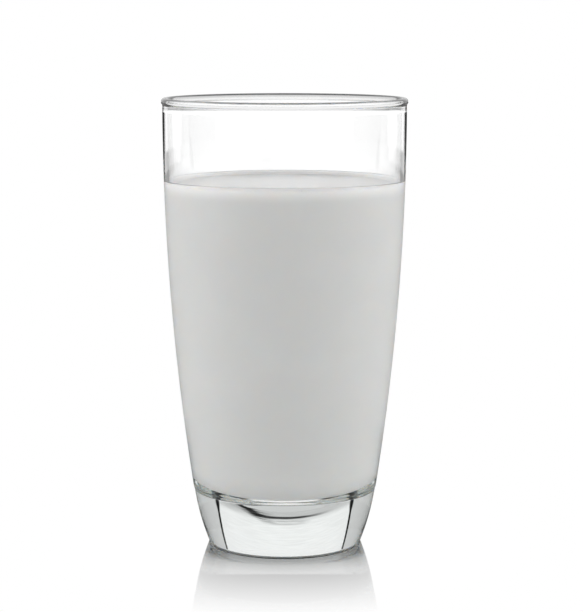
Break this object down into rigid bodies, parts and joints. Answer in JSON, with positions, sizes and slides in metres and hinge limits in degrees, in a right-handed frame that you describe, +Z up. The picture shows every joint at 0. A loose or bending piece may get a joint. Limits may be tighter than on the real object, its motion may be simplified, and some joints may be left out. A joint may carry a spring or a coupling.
{
  "type": "glass of milk",
  "caption": "Clear heavy-based drinking glass with a rounded rim, gently tapered sides and a rounded well, filled with white milk almost to the rim.",
  "frame": {"origin": "centre of the ring that the glass stands on", "axes": "+Z up along the glass's axis of revolution; X and Y are alike"},
  "size_m": [0.0768, 0.0768, 0.14],
  "materials": {
    "glass": "clear colourless soda-lime glass, fire polished, with a faint green edge",
    "milk": "opaque white whole milk with a wet, smooth surface"
  },
  "bodies": {
    "root": {"tumbler": "glass", "milk": "milk"}
  },
  "joints": []
}
